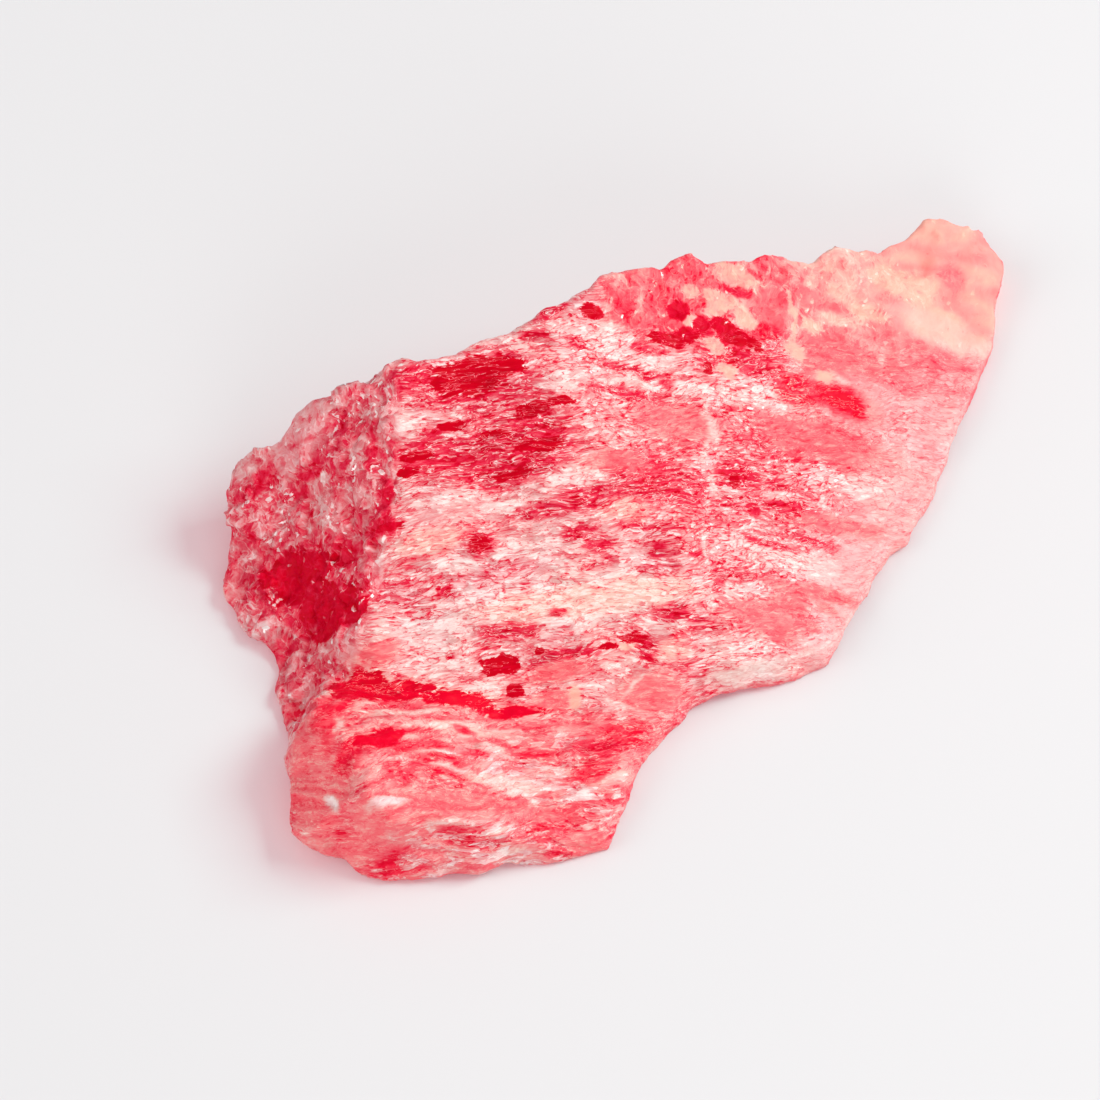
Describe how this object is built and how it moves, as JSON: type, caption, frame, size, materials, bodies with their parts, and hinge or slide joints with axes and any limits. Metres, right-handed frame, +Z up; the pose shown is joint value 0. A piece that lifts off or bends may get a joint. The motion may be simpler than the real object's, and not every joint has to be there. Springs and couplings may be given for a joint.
{
  "type": "rough rhodonite",
  "caption": "Loose broken chip of rough pink-red stone with a splintery tilted face, a thick back, a hackly end and a lobe in front, lying on its flattest side.",
  "frame": {"origin": "under the middle of the chip's box, at the surface that the chip lies on", "axes": "+Z up out of the surface it lies on, +Y from the low lobe in front to the thick back, +X towards the thin right edge and the tip"},
  "size_m": [0.0236, 0.023, 0.0059],
  "materials": {
    "rhodonite": "translucent rough crystal, deep red to rose with white and peach fibres along the grain; silky to glassy on fresh breaks"
  },
  "bodies": {
    "root": {"rhodonite": "rhodonite"}
  },
  "joints": []
}
